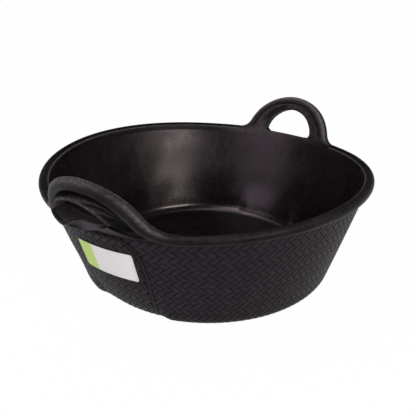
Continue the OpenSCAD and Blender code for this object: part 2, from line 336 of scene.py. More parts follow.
def rim_rubber(name, specular, dull):
    finish, net, place = placed_finish(name)
    wear_and_sheen = attribute(net, "wear_and_sheen")
    deep_shade = attribute(net, "deep_shade")
    pale = attribute(net, "pale")
    cloud = noise(net, place, 22.0, 3.0)
    patchy = noise(net, place, 120.0, 4.0, 0.6)
    nick = step_up(net, noise(net, place, 330.0, 3.0, 0.6), 0.42, 0.62)
    grain = noise(net, place, 1200.0, 2.0)
    body = mix_colour(net, step_up(net, cloud, 0.3, 0.7), (0.0022, 0.0018, 0.0024), (0.0075, 0.0063, 0.0079))
    rubbed = mix_colour(net, step_up(net, patchy, 0.5, 0.72) * 0.25, body, (0.03, 0.026, 0.03))
    # Painted light: pale lightens the sill's face, the near hole's edge and the rim beside the handle plates
    pale_lit = mix_colour(net, pale * (0.7 + 0.3 * patchy), rubbed, (0.075, 0.067, 0.076))
    # Wear and painted highlights, from wear_and_sheen
    scuffed_and_sheened = mix_colour(net, wear_and_sheen * (0.5 + 0.5 * nick) * 0.85, pale_lit, (0.115, 0.102, 0.104))
    # Painted shade: deep_shade darkens the welt's furrow and the far hole's edge
    colour = mix_colour(net, deep_shade * 0.9, scuffed_and_sheened, (0.0018, 0.0015, 0.002))
    roughness = dull + 0.26 * patchy + 0.14 * wear_and_sheen * nick + 0.2 * deep_shade
    height = grain * 0.4 + patchy * 0.6 + wear_and_sheen * nick * 0.6
    close_finish(net, colour, roughness, height, 0.45, 0.0003, specular, (1.0, 0.86, 1.0))
    return finish


def sole_rubber():
    finish, net, place = placed_finish("sole_rubber")
    cloud = noise(net, place, 16.0, 4.0)
    scuff = noise(net, stretch(net, place, (180.0, 30.0, 60.0)), 1.0, 4.0, 0.65)
    grain = noise(net, place, 900.0, 3.0)
    body = mix_colour(net, cloud, (0.012, 0.011, 0.012), (0.03, 0.027, 0.028))
    colour = mix_colour(net, step_up(net, scuff, 0.55, 0.75) * 0.5, body, (0.075, 0.069, 0.064))
    close_finish(net, colour, 0.62 + 0.2 * scuff, grain * 0.6 + scuff * 0.4, 0.4, 0.0006, 0.3)
    return finish


def cord_fabric():
    finish, net, place = placed_finish("cord_fabric")
    warp = net.node("ShaderNodeTexWave", {"bands_direction": "Z"}, {
        "Vector": place, "Scale": 260.0, "Distortion": 0.4})
    weft = net.node("ShaderNodeTexWave", {"bands_direction": "DIAGONAL"}, {
        "Vector": place, "Scale": 220.0, "Distortion": 0.4})
    thread = warp.to("Fac").most(weft.to("Fac"))
    fibre = noise(net, place, 800.0, 3.0)
    colour = mix_colour(net, thread * (0.6 + 0.4 * fibre), (0.05, 0.044, 0.038), (0.2, 0.175, 0.145))
    close_finish(net, colour, 0.8 + 0.15 * fibre, thread * 0.8 + fibre * 0.2, 0.5, 0.0006, 0.2)
    return finish


def rope_fibre():
    finish, net, place = placed_finish("rope_fibre")
    strand = net.node("ShaderNodeTexWave", {"bands_direction": "DIAGONAL"}, {
        "Vector": place, "Scale": 150.0, "Distortion": 1.2, "Detail": 2.0})
    fibre = noise(net, place, 900.0, 3.0)
    colour = mix_colour(net, strand.to("Fac") * (0.6 + 0.4 * fibre), (0.17, 0.13, 0.08), (0.42, 0.34, 0.22))
    close_finish(net, colour, 0.8 + 0.15 * fibre, strand.to("Fac") * 0.8 + fibre * 0.2, 0.6, 0.0008, 0.2)
    return finish


def label_film():
    finish, net, place = placed_finish("label_film")
    flat = net.node("ShaderNodeUVMap", {"uv_map": "film"})
    parts = net.node("ShaderNodeSeparateXYZ", None, {"Vector": flat})
    green = step_up(net, parts.to("X"), 0.716, 0.722)
    rub = noise(net, place, 160.0, 4.0, 0.6)
    soil = noise(net, place, 38.0, 3.0)
    edge = abs(parts.to("X") - 0.5).most(abs(parts.to("Y") - 0.5))
    grime = step_up(net, edge + soil * 0.05, 0.475, 0.53)
    paper = mix_colour(net, step_up(net, rub, 0.4, 0.7) * 0.5, (0.83, 0.82, 0.835), (0.76, 0.75, 0.77))
    lime = mix_colour(net, step_up(net, rub, 0.4, 0.7) * 0.5, (0.5, 0.73, 0.13), (0.45, 0.67, 0.115))
    printed = mix_colour(net, green, paper, lime)
    colour = mix_colour(net, grime * 0.35, printed, (0.4, 0.4, 0.38))
    close_finish(net, colour, 0.34 + 0.2 * rub, rub * 0.5 + soil * 0.5, 0.15, 0.0004, 0.45)
    return finish


# Soft shapes, meshes and closed sheets

def rise(t):
    """An even S from 0 to 1."""
    return t * t * (3 - 2 * t)


def ramp(t):
    """A soft step from 0 to 1, level on both sides."""
    return rise(np.clip(t, 0, 1))


def bell(x, middle, width):
    """A soft bump that is 1 at its middle."""
    return np.exp(-((x - middle) / width) ** 2)


def sagged(points):
    """Points in millimetres moved as the soft wall sags, and the far handle leans round."""
    points = np.array(points, float)
    x, y, z = points.T
    r = np.hypot(x, y)
    turned = np.arctan2(y, x)
    twice = np.cos(2 * turned)
    level = z / SAG_HEIGHT
    skew = SAG_SKEW * np.sin(2 * turned) * (1 + 0.6 * level)
    wide = r + (SAG_OUT * twice * level - skew + FOOT_OUT * np.clip(1 - level, 0, 1)) * r / 200.0
    low = z - SAG_DOWN * twice * np.minimum(level, 1.2) ** 2 * np.clip(r / 190.0, 0.0, 1.0)
    from_handle = np.where(x < 0, math.pi - turned, turned) + SET_ROUND
    aside = np.where(np.cos(from_handle) > 0, abs(r * np.sin(from_handle)), r)
    under = 1 - ramp((aside - TUCK_HALF) / TUCK_FADE)
    tuck = under * np.clip(1 - z / TUCK_TOP, 0, 1) ** 2 * ramp((r - TUCK_R) / 18.0)
    wide -= TUCK_IN * tuck
    low += TUCK_UP * tuck
    dent = bell(turned, DENT_TURN, DENT_WIDE) * np.sin(math.pi * np.clip(z / DENT_TOP, 0, 1)) ** 2
    wide -= DENT_IN * dent * ramp((r - DENT_R) / 25.0)
    handle = ramp((z - FAR_FOOT) / 10.0) * (1 - ramp((aside - FAR_HALF) / FAR_FADE)) * (x > 0)
    low += FAR_STRETCH * np.maximum(z - FAR_FOOT - 5.0, 0.0) * handle
    return np.stack([wide * np.cos(turned), wide * np.sin(turned) + FAR_SHIFT * handle, low], -1)


def placed(name, data):
    obj = bpy.data.objects.new(name, data)
    bpy.context.collection.objects.link(obj)
    return obj


def dress(obj, node):
    """The piece rides with the tub and stands for its solid."""
    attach(obj, "root")
    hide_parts(node)


def face_out(mesh):
    """Turns the faces of a closed mesh outwards."""
    work = bmesh.new()
    work.from_mesh(mesh)
    bmesh.ops.recalc_face_normals(work, faces=work.faces)
    work.to_mesh(mesh)
    work.free()


def settle(mesh, sharp, turn_faces=True):
    """Sags a mesh in millimetres, brings it to metres and smooths it up to an angle in degrees."""
    places = np.empty(len(mesh.vertices) * 3)
    mesh.vertices.foreach_get("co", places)
    mesh.vertices.foreach_set("co", (sagged(places.reshape(-1, 3)) * MM).ravel())
    if turn_faces:
        face_out(mesh)
    mesh.shade_smooth()
    mesh.set_sharp_from_angle(angle=math.radians(sharp))
    mesh.update()


def add_values(mesh, values):
    for name, numbers in (values or {}).items():
        layer = mesh.attributes.new(name, "FLOAT", "POINT")
        layer.data.foreach_set("value", np.asarray(numbers, float).ravel())


def piece(name, form, finish, values=None, sharp=40.0):
    """A closed mesh in millimetres made a finished piece of the tub."""
    points, faces = form
    mesh = bpy.data.meshes.new(name)
    mesh.from_pydata(np.asarray(points).tolist(), [], faces)
    add_values(mesh, values)
    mesh.materials.append(finish)
    settle(mesh, sharp)
    obj = placed(name, mesh)
    dress(obj, name.replace("_look", ""))
    return obj


def skin(rings, closed):
    """Closed sections joined along a line, with ends unless the line is closed."""
    count, m = rings.shape[:2]
    faces = []
    for i in range(count if closed else count - 1):
        j = (i + 1) % count
        for k in range(m):
            n = (k + 1) % m
            faces.append((i * m + k, i * m + n, j * m + n, j * m + k))
    if not closed:
        faces.append(tuple(range(m)))
        faces.append(tuple(range(count * m - 1, (count - 1) * m - 1, -1)))
    return rings.reshape(-1, 3), faces


def grid_faces(rows, cols):
    starts = [i * cols + k for i in range(rows - 1) for k in range(cols - 1)]
    return [(a, a + 1, a + cols + 1, a + cols) for a in starts]


def grid_border(rows, cols):
    """Points round the edge of a grid, in order."""
    border = list(range(cols))
    border += [i * cols + cols - 1 for i in range(1, rows)]
    border += [(rows - 1) * cols + k for k in range(cols - 2, -1, -1)]
    return border + [i * cols for i in range(rows - 2, 0, -1)]


def slab(top, under):
    """Closed sheet between two grids of points."""
    rows, cols = top.shape[:2]
    size = rows * cols
    points = np.concatenate([top.reshape(-1, 3), under.reshape(-1, 3)])
    faces = grid_faces(rows, cols)
    faces += [(size + a, size + d, size + c, size + b) for a, b, c, d in faces]
    border = grid_border(rows, cols)
    faces += [(a, size + a, size + b, b) for a, b in zip(border, border[1:] + border[:1])]
    return points, faces


def all_round(count):
    return np.linspace(0, 2 * math.pi, count, endpoint=False)


def turned_round(section, angles):
    """A section of radius and height carried round the tub."""
    section = np.asarray(section, float)
    c = np.cos(angles)[:, None]
    s = np.sin(angles)[:, None]
    r = section[None, :, 0]
    z = np.broadcast_to(section[None, :, 1], (len(angles), len(section)))
    return np.stack([r * c, r * s, z], -1)


# Sheets of the wall and the floor

def down_wall(v, depth):
    """Radius and height at a way v down the outside and a depth under its face."""
    v = np.asarray(v, float)
    turn = -SLOPE - (v - SLANT) / CORNER_R
    r = np.where(v < SLANT, TOP_R - v * SIN - depth * COS, CORNER_MID + (CORNER_R - depth) * np.cos(turn))
    z = np.where(v < SLANT, WALL_TOP - v * COS + depth * SIN, CORNER_R + (CORNER_R - depth) * np.sin(turn))
    return np.stack([r, z], -1)


def wall_section(near, far, rows):
    """Section of one sheet of the wall between two depths, level at its top."""
    bend = np.linspace(SLANT, WALL_END, 13)
    near_way = np.concatenate([np.linspace(near * TAN, SLANT, rows)[:-1], bend])
    far_way = np.concatenate([np.linspace(far * TAN, SLANT, rows)[:-1], bend])
    return np.concatenate([down_wall(near_way, near), down_wall(far_way, far)[::-1]])


def wavy(angle, z):
    """Small unevenness of hand-laid rubber, in millimetres."""
    return (0.22 * np.sin(5 * angle + 0.03 * z) + 0.16 * np.sin(11 * angle - 0.045 * z + 1.3)
            + 0.12 * np.sin(23 * angle + 0.08 * z + 0.4) + 0.1 * np.sin(0.13 * z + 3 * angle))


def liner_sheet():
    """The smooth inner sheet of the wall, a little uneven, and sleeker towards its foot."""
    section = wall_section(WALL_T, COVER_T + CORD_T, 34)
    rings = turned_round(section, all_round(240))
    inside = rings[:, :len(section) // 2]
    turned = np.arctan2(inside[:, :, 1], inside[:, :, 0])
    level = inside[:, :, 2]
    fade = np.clip((level - WALL_T) / 25, 0, 1) * np.clip((WALL_TOP - level) / 12, 0, 1)
    uneven = wavy(turned, level) * fade
    inside[:, :, 0] += uneven * np.cos(turned)
    inside[:, :, 1] += uneven * np.sin(turned)
    polished = 1 - ramp((rings[:, :, 2] - 35.0) / 65.0)
    return skin(rings, True), {"sleek": polished}


def floor_sheet():
    """The round floor sheet, a little uneven, closed at its middle."""
    radii = np.array([8.0, 20, 36, 54, 72, 90, 108, 124, 138, 148, CORNER_MID])
    turns = all_round(192)
    top_z = WALL_T
    under_z = COVER_T + CORD_T
    points = [(0.0, 0.0, top_z)]
    for r in radii:
        fade = 1 - (r / CORNER_MID) ** 6
        for a in turns:
            z = top_z + 0.3 * fade * math.sin(r * 0.07 + 3 * a) * math.sin(2 * a + 0.8)
            points.append((r * math.cos(a), r * math.sin(a), z))
    count = len(turns)
    faces = [(0, 1 + k, 1 + (k + 1) % count) for k in range(count)]
    for i in range(len(radii) - 1):
        for k in range(count):
            n = (k + 1) % count
            a, b = 1 + i * count, 1 + (i + 1) * count
            faces.append((a + k, b + k, b + n, a + n))
    foot = len(points)
    for a in turns:
        points.append((CORNER_MID * math.cos(a), CORNER_MID * math.sin(a), under_z))
    points.append((0.0, 0.0, under_z))
    last = 1 + (len(radii) - 1) * count
    for k in range(count):
        n = (k + 1) % count
        faces.append((last + k, foot + k, foot + n, last + n))
        faces.append((foot + count, foot + n, foot + k))
    return np.array(points), faces


# Handles: places on them and their pieces

def on_lean(s, u, n):
    """A point s along the rim, u up the lean of the handle and n out of its plate."""
    turned = s / BEAD_MID - SET_ROUND
    r = BEAD_MID + u * SIN_LEAN + n * COS_LEAN
    z = BEAD_Z + u * COS_LEAN - n * SIN_LEAN
    return np.stack([r * np.cos(turned), r * np.sin(turned), z + 0 * s], -1)


def arch_at(b):
    return np.stack([ARCH_R * np.sin(b), ARCH_MID + ARCH_R * np.cos(b), np.sin(b), np.cos(b), 0 * b + 1], -1)


def sweep(radius):
    """Where a root leaves the rim, and how far it turns up into the arch."""
    start = math.sqrt((ARCH_R + radius) ** 2 - (radius - ARCH_MID) ** 2)
    return start, math.atan2(start, radius - ARCH_MID)


def root_line(radius, steps):
    start, turn = sweep(radius)
    g = np.linspace(0, turn, steps + 1)[:-1]
    s = radius * np.sin(g) - start
    u = radius - radius * np.cos(g)
    return np.stack([s, u, -np.sin(g), np.cos(g), g / turn], -1)


def roll_line(hand, root_steps=16, arch_steps=64):
    """Stations of the handle roll: place s and u, the way out of the hand hole, share of the full roll."""
    front = root_line(hand.front_root, root_steps)
    arch = arch_at(np.linspace(-sweep(hand.front_root)[1], TURN, arch_steps + 1))
    back = root_line(ROOT_R, root_steps)[::-1] * np.array([-1.0, 1.0, -1.0, 1.0, 1.0])
    return np.concatenate([front, arch, back])


def hole_line(hand, over_steps, corner_steps, foot_steps):
    """Stations of the hand hole: place s and u and the way out of the hole."""
    low = hand.hole_foot + HOLE_CORNER_R
    turn = math.asin((low - hand.hole_rise) / hand.hole_r)
    side = hand.hole_r * math.cos(turn) - HOLE_CORNER_R
    a = np.linspace(math.pi - turn, turn, over_steps + 1)
    over = np.stack([
        hand.hole_r * np.cos(a), hand.hole_rise + hand.hole_r * np.sin(a), np.cos(a), np.sin(a)], -1)
    b = np.linspace(0, math.pi / 2, corner_steps + 1)[1:]
    corner = np.stack([
        side + HOLE_CORNER_R * np.cos(b), low - HOLE_CORNER_R * np.sin(b), np.cos(b), -np.sin(b)], -1)
    t = np.linspace(side, -side, foot_steps + 1)[1:-1]
    foot = np.stack([t, 0 * t + hand.hole_foot, 0 * t, 0 * t - 1], -1)
    far = corner[::-1] * np.array([-1.0, 1.0, -1.0, 1.0])
    return np.concatenate([over, corner, foot, far]) + np.array([hand.hole_s, 0.0, 0.0, 0.0])


def handle_roll(hand):
    """The thick rolled edge that runs on from the rim over the hand hole."""
    line = roll_line(hand)
    a = all_round(32)[None, :]
    s, u, out_s, out_u, share = (line[:, i][:, None] for i in range(5))
    full = rise(share)
    uneven = 1 + 0.018 * np.sin(s / 9.0 + 0.6) * full
    r = (BEAD_R + (ROLL_R - BEAD_R) * full) * uneven
    tall = 1 + (hand.roll_tall - 1) * full
    n = r * np.cos(a)
    v = r * np.sin(a) * tall - 0.7 * r * (tall - 1)
    rings = on_lean(s + v * out_s, u + v * out_u, n)
    # Wear along the roll's upper inner edge
    rub = bell(np.cos(a), -0.6, 0.24) * (np.sin(a) > 0) * (0.2 + 0.8 * full)
    # Painted highlights: on the roll's top, along its roots and on its upper outer side at the back; on the
    # far handle a broad painted light on its upper inner side
    on_root = bell(abs(s), 64.0, 24.0)
    back = ramp((s + 30.0) / 50.0)
    rub = rub + hand.worn_and_sheened * full * (0.3 + 0.6 * back) * bell(np.sin(a), 1.0, 0.35)
    rub = rub + hand.worn_and_sheened * 0.8 * on_root * bell(a, math.radians(58.0), 0.35)
    rub = rub + hand.worn_and_sheened * 0.5 * back * full * bell(a, math.radians(45.0), 0.5)
    rub = rub + (1 - hand.worn_and_sheened) * 0.4 * full * bell(a, math.radians(135.0), 0.7)
    return skin(rings, False), {"wear_and_sheen": np.broadcast_to(rub, rings.shape[:2])}


def inner_face(u):
    """How far in the face of the plate lies: it leaves the wall's slope and turns into the lean."""
    first_guess = -8.0
    n = np.zeros_like(u) + first_guess
    start = TOP_R - WALL_T / COS
    for _ in range(4):
        z = BEAD_Z + u * COS_LEAN - n * SIN_LEAN - WALL_TOP
        x = np.clip(z / PLATE_BEND, 0, 1)
        r = start + z * math.tan(LEAN) + (TAN - math.tan(LEAN)) * PLATE_BEND * (x - x * x / 2)
        r = np.where(z < 0, start + z * TAN, r)
        n = (r - BEAD_MID - u * SIN_LEAN) / COS_LEAN
    return n


def plate_outline(hand, top):
    """The plate's edge: the arch at its top, then down the back, along the foot and up the front."""
    front_s = sweep(hand.front_root)[0]
    down = np.linspace(PLATE_EDGE, PLATE_FOOT, 5)[1:]
    back = np.stack([0 * down + ROOT_S, down], -1)
    along = np.linspace(ROOT_S, -front_s, 41)[1:]
    foot = np.stack([along, 0 * along + PLATE_FOOT], -1)
    front = np.stack([0 * down - front_s, down], -1)[::-1][1:]
    return np.concatenate([top, back, foot, front])


def handle_tongue(hand):
    """The inner plate of the handle, a sheet with the hand hole in it."""
    line = roll_line(hand, 14, 46)
    top = line[:, :2] + PLATE_EDGE * line[:, 2:4]
    outer = plate_outline(hand, top)
    soft = np.concatenate([np.full(len(top), PLATE_SOFT), np.full(len(outer) - len(top), 0.05)])
    middle = np.array([hand.hole_s, 20.0])
    hole = hole_line(hand, 220, 40, 80)[:, :2] - middle
    hole_turn = np.unwrap(np.arctan2(hole[:, 1], hole[:, 0]))
    order = np.argsort(hole_turn)
    out_turn = np.arctan2(outer[:, 1] - middle[1], outer[:, 0] - middle[0])
    reach = np.interp(
        np.mod(out_turn - hole_turn[order][0], 2 * math.pi) + hole_turn[order][0],
        hole_turn[order], np.hypot(hole[:, 0], hole[:, 1])[order], period=2 * math.pi)
    start = middle + np.stack([reach * np.cos(out_turn), reach * np.sin(out_turn)], -1)
    way = outer - start
    far = np.linalg.norm(way, axis=1)
    way = way / far[:, None]
    fillet = np.minimum(PLATE_FILLET, far * 0.3)
    turns = np.radians(np.linspace(0, 90, 7))
    shares = np.linspace(0, 1, 10)[1:-1]
    groove = ramp(1.5 * np.cos(out_turn)) * ramp(3.0 * np.sin(out_turn) + 0.5)
    # Painted shade towards the wall: near the arch's roots and along part of the foot
    along_foot = ramp(0.35 - outer[len(top):, 0] / 90.0)
    into_wall = np.concatenate([1 - rise(line[:, 4]), along_foot])

    # Columns across the plate: the way from the hole, the height over its face, wear, and painted shade,
    # which darkens the hole's inside, the groove and the plate towards the wall
    columns = [(hand.ledge * ramp(-np.sin(out_turn) * 1.6), None, 0.0, 0.8)]
    for a in turns:
        rounded = fillet * (1 - np.sin(a))
        columns.append((fillet * (1 - np.cos(a)), rounded, 0.15 * math.sin(2 * a), math.cos(a)))
    for t in shares:
        sunk = groove * bell(t, 0.15, 0.2)
        # Painted shade in the groove beside the hole and towards the wall
        shaded = np.maximum(sunk, into_wall * rise(t))
        columns.append((fillet + (far - fillet - soft) * t, GROOVE_IN * sunk, 0.0, shaded))
    for a in turns:
        columns.append((far - soft * (1 - np.sin(a)), soft * (1 - np.cos(a)), math.sin(2 * a), into_wall))
    columns.append((far, None, 0.2, into_wall))
    columns.append((far * 0.5, None, 0.0, 0.0))
    rings = np.empty((len(far), len(columns), 3))
    rub = np.empty((len(far), len(columns)))
    deep_shade = np.empty_like(rub)
    for k, (q, raised, worn_and_sheened, shaded) in enumerate(columns):
        s = start[:, 0] + way[:, 0] * q
        u = start[:, 1] + way[:, 1] * q
        n = np.full_like(s, PLATE_OUT) if raised is None else inner_face(u) + raised
        rings[:, k] = on_lean(s, u, n)
        rub[:, k] = worn_and_sheened
        deep_shade[:, k] = shaded
    rub[:len(top)] *= rise(line[:, 4])[:, None]
    rub[len(top):] *= np.linspace(0, 1, len(columns))[None, :] < 0.4
    rings[:, :, 2] = np.maximum(rings[:, :, 2], WALL_TOP)
    return skin(rings, True), {"wear_and_sheen": rub, "deep_shade": deep_shade}


def welt_over(w, held, sunk):
    """Section of the welt over the hole: out along the hole, round the lip, back down the furrow.

    held is 1 where it ends in the roll and 0 where it thins out on the wall; sunk is 1 where it lies low.
    """
    lip = np.radians(np.linspace(-90, 90, 13))
    out = WELT_OUT + (SUNK_OUT - WELT_OUT) * sunk
    thick = WELT_R + (SUNK_R - WELT_R) * sunk
    points = [(PLATE_OUT, 0.0), ((PLATE_OUT + out) * 0.3, 0.0), (out - 2 * thick, 0.0)]
    points += [(out - thick + thick * math.cos(a), thick + thick * math.sin(a)) for a in lip]
    meet = 0.87 - 0.62 * sunk
    first = np.array([out - thick, 2 * thick])
    thin = 1.0 - 1.5 * sunk
    last = np.array([thin + (ROLL_R * math.sin(meet) - thin) * held, w - ROLL_R * math.cos(meet) * held])
    for t in np.linspace(0, 1, 24)[1:]:
        n, q = first + (last - first) * t
        n -= (1.5 - 0.8 * sunk) * FURROW * math.sin(math.pi * t) ** 0.7
        ridge = sum(bell(w - q, near, 1.5) for near in RIDGES)
        n += (1.9 - 1.1 * sunk) * ridge
        on_roll = math.sqrt(max(0.0, ROLL_R * ROLL_R - (w - q) ** 2)) * held
        points.append((max(n, on_roll - 0.4, PLATE_OUT + 0.25), q))
    end_n = thin - 0.3
    end_n += (ROLL_R * math.sin(meet * 0.45) - end_n) * held
    points.append((end_n, w - ROLL_R * math.cos(meet * 0.45) * held))
    points.append((PLATE_OUT, w - math.sqrt(ROLL_R * ROLL_R - PLATE_OUT * PLATE_OUT) * held))
    return np.array(points)


def welt_under(hand, w):
    """Section of the welt under the hole, where it is the sill: a ledge, a crisp lip and a smooth face."""
    lip = np.radians(np.linspace(-90, 90, 13))
    over = hand.ledge + 0.3
    out = hand.sill_out
    points = [(PLATE_OUT, over), (out * 0.3, over + 0.2), (out - SILL_R * 1.4, over + 0.4)]
    points += [(out - SILL_R + SILL_R * math.cos(a), over + 0.4 + SILL_R + SILL_R * math.sin(a)) for a in lip]
    first = np.array([out - SILL_R * 0.2, over + 0.4 + 2 * SILL_R])
    last = np.array([1.0, w])
    for t in np.linspace(0, 1, 25)[1:]:
        n, q = first + (last - first) * t
        points.append((n + 0.3 * out * math.sin(math.pi * t), q))
    points.append((PLATE_OUT, w))
    return np.array(points)


def welt_border(hand, line):
    """How far the welt reaches square out of each station of the hole: to the roll, its root or the wall."""
    roll = roll_line(hand)[:, :2]
    kept = roll[(roll[:, 0] > -hand.front_end) & (roll[:, 0] < BACK_END)]
    foot_u = hand.hole_foot - hand.sill_h
    back = [hand.hole_s + hand.hole_r + hand.back_flare, foot_u - hand.back_flare]
    front = [hand.hole_s - 0.8 * hand.hole_r, foot_u + (hand.sill_h - 6.0) * hand.front_sunk]
    corners = np.concatenate([[[hand.hole_s, foot_u], front, [kept[0, 0] + 1.0, foot_u]], kept, [back]])
    edge = np.roll(corners, -1, axis=0) - corners
    reach = []
    for s, u, out_s, out_u in line:
        cross = out_s * edge[:, 1] - out_u * edge[:, 0]
        cross = np.where(abs(cross) < 1e-9, 1e-9, cross)
        to = corners - np.array([s, u])
        far = (to[:, 0] * edge[:, 1] - to[:, 1] * edge[:, 0]) / cross
        share = (to[:, 0] * out_u - to[:, 1] * out_s) / cross
        reach.append(far[(far > 0) & (share >= 0) & (share <= 1)].min())
    return np.array(reach)


def handle_welt(hand):
    """The second lip round the hand hole: it flares at the back corner and is the sill at the foot."""
    line = hole_line(hand, 56, 27, 24)
    reach = welt_border(hand, line)
    reach = sum(np.roll(reach, k) for k in range(-4, 5)) / 9
    foot_half = (line[line[:, 3] == -1.0][:, 0] - hand.hole_s).max()
    foot_u = hand.hole_foot - hand.sill_h
    rings = []
    rubs_and_sheens = []
    deep_shades = []
    pales = []
    for (s, u, out_s, out_u), w in zip(line, reach):
        held = ramp((u + w * out_u - foot_u - 3.0) / 12.0)
        low = ramp((0.75 - out_u) / 1.75)
        front = s < hand.hole_s
        sunk = hand.front_sunk * ramp((0.92 - out_u) / 1.3) if front else 0.0
        t = low * 0.1
        if out_u < -0.999:
            span = foot_half * (0.5 if front else 1.0)
            t += (1 - t) * ramp((foot_half - abs(s - hand.hole_s)) / span)
        n, q = (welt_over(w, held, sunk) * (1 - t) + welt_under(hand, w) * t).T
        if not front:
            flare = hand.back_flare * low * (1 - t) * np.clip((n - PLATE_OUT) / (WELT_OUT - PLATE_OUT), 0, 1)
            q = np.minimum(q + flare, w)
            n = n + 0.4 * flare
        rings.append(on_lean(s + q * out_s, u + q * out_u, n))
        ways = np.arange(len(n))
        # Wear and painted highlights on the lip's top and on the ridges
        rub = 0.7 * bell(ways, 9.0, 2.4)
        ridges = sum(bell(w - q, near, 1.3) for near in RIDGES)
        rubs_and_sheens.append((rub + 0.4 * ridges) * (1 - 0.7 * t))
        # Painted light: the sill's face is paler, and the near handle's hole edge gets a pale line
        pales.append(t * (ways > 8) * (ways < 40) + 0.35 * hand.worn_and_sheened * (ways < 4))
        # Painted shade: dark in the furrow between the lip and the roll, lighter on its ridges, and on the
        # far handle along the hole's edge
        deep_shade = np.sin(math.pi * np.clip((ways - 15.0) / 24.0, 0, 1)) ** 0.5
        deep_shade = deep_shade * (1 - 0.7 * np.minimum(ridges, 1))
        deep_shades.append(deep_shade * (1 - t) * (0.55 + 0.45 * sunk) + 0.6 * (1 - hand.worn_and_sheened) * (ways < 3))
    values = {"wear_and_sheen": np.array(rubs_and_sheens), "deep_shade": np.array(deep_shades), "pale": np.array(pales)}
    return skin(np.array(rings), True), values


def other_side(form):
    """The same form on the left handle."""
    points, faces = form
    return np.asarray(points).reshape(-1, 3) * np.array([-1.0, 1.0, 1.0]), faces


# Rim between the handles

def rim_section():
    """Section of the rim strip: the roll outside, a shallow valley, the lip inside."""
    inner = TOP_R - WALL_T / COS
    points = [(inner, WALL_TOP)]
    rub = [0.0]
    lip = np.radians(np.linspace(180 - math.degrees(SLOPE), 72, 9))
    for a in lip:
        points.append((LIP_MID + LIP_R * math.cos(a), LIP_Z + LIP_R * math.sin(a)))
        # Painted highlight and wear: a light line along the lip's upper inner edge
        rub.append(0.9 * bell(math.degrees(a), 118, 26))
    for t, sunk in ((0.3, 0.45), (0.6, 0.5)):
        points.append((LIP_MID + 0.8 + (BEAD_MID - 1.6 - LIP_MID) * t, VALLEY_Z + VALLEY_RISE * t - sunk))
        rub.append(0.05)
    bead = np.radians(np.linspace(112, -112, 27))
    for a in bead:
        points.append((BEAD_MID + BEAD_R * math.cos(a), BEAD_Z + BEAD_R * math.sin(a)))
        # Wear and a painted highlight on the bead's upper outer side
        rub.append(0.12 * bell(math.degrees(a), 50, 34))
    points.append((TOP_R, WALL_TOP))
    rub.append(0.0)
    return np.array(points), np.array(rub)


# Pressed plait, repeated with geometry nodes

def plait_pad():
    """One pad of the plait: nearly flat, with a narrow bevel to its grooves and ends that dive."""
    half_long = PLAIT_PITCH / math.sqrt(2) + 0.4
    half_wide = PLAIT_PITCH / math.sqrt(8) - PLAIT_GROOVE * 0.5
    heights = (-0.4, -0.04, 0.04)
    along = [half_long - inset for inset in (0.0, 1.3, 3.2)]
    across = [half_wide - inset for inset in (0.0, 0.5, 1.4)]
    xs = [-x for x in along] + along[::-1]
    ys = [-y for y in across] + across[::-1]
    cols = len(xs)
    rows = len(ys)
    points = []
    relief_shade = []
    for j, y in enumerate(ys):
        for i, x in enumerate(xs):
            ring = min(i, j, cols - 1 - i, rows - 1 - j)
            corner = i in (0, cols - 1) and j in (0, rows - 1)
            keep = 0.92 if corner else 1.0
            dive = 0.1 * (x / half_long) ** 2 + (0.08 if i in (0, cols - 1) else 0.0)
            points.append((x * keep, y * keep, heights[ring] - dive))
            # Painted shade: the bevel ring is darker than the pad's top
            relief_shade.append((0.62, 0.95, 1.0)[ring])
    border = grid_border(rows, cols)
    faces = grid_faces(rows, cols)
    foot = len(points)
    for k in border:
        x, y = points[k][:2]
        points.append((x, y * 1.04, -PLAIT_DEPTH - 0.5))
        # Painted shade: the skirt down in the groove gets the darkest colour
        relief_shade.append(0.0)
    count = len(border)
    for k in range(count):
        n = (k + 1) % count
        faces.append((border[k], foot + k, foot + n, border[n]))
    faces.append(tuple(foot + k for k in range(count - 1, -1, -1)))
    mesh = bpy.data.meshes.new("plait_pad")
    mesh.from_pydata(points, [], faces)
    add_values(mesh, {"relief_shade": relief_shade})
    return bpy.data.objects.new("plait_pad", mesh)


def either(share, yes, no):
    return share * yes + (1.0 - share) * no


def squeezed(beyond):
    """What is left of a length past the patch's border, never more than the squeeze."""
    return EDGE_SQUEEZE * beyond / (beyond + EDGE_SQUEEZE)


def patch_side(height):
    """Half the width between the tapered sides of a patch, worked out in nodes."""
    taper = ((PATCH_TOP * 0.5 - height) / (PATCH_TOP * 0.5 - PATCH_FOOT)).most(0.0).least(1.0)
    return PATCH_HALF - (PATCH_HALF - PATCH_FOOT_HALF) * taper


def nearest_handle(angle):
    """The way round to the nearer handle, worked out in nodes."""
    turns = (angle / math.pi).math("ROUND")
    return turns * math.pi + (turns.math("MODULO", 2.0) * 2.0 - 1.0) * SET_ROUND


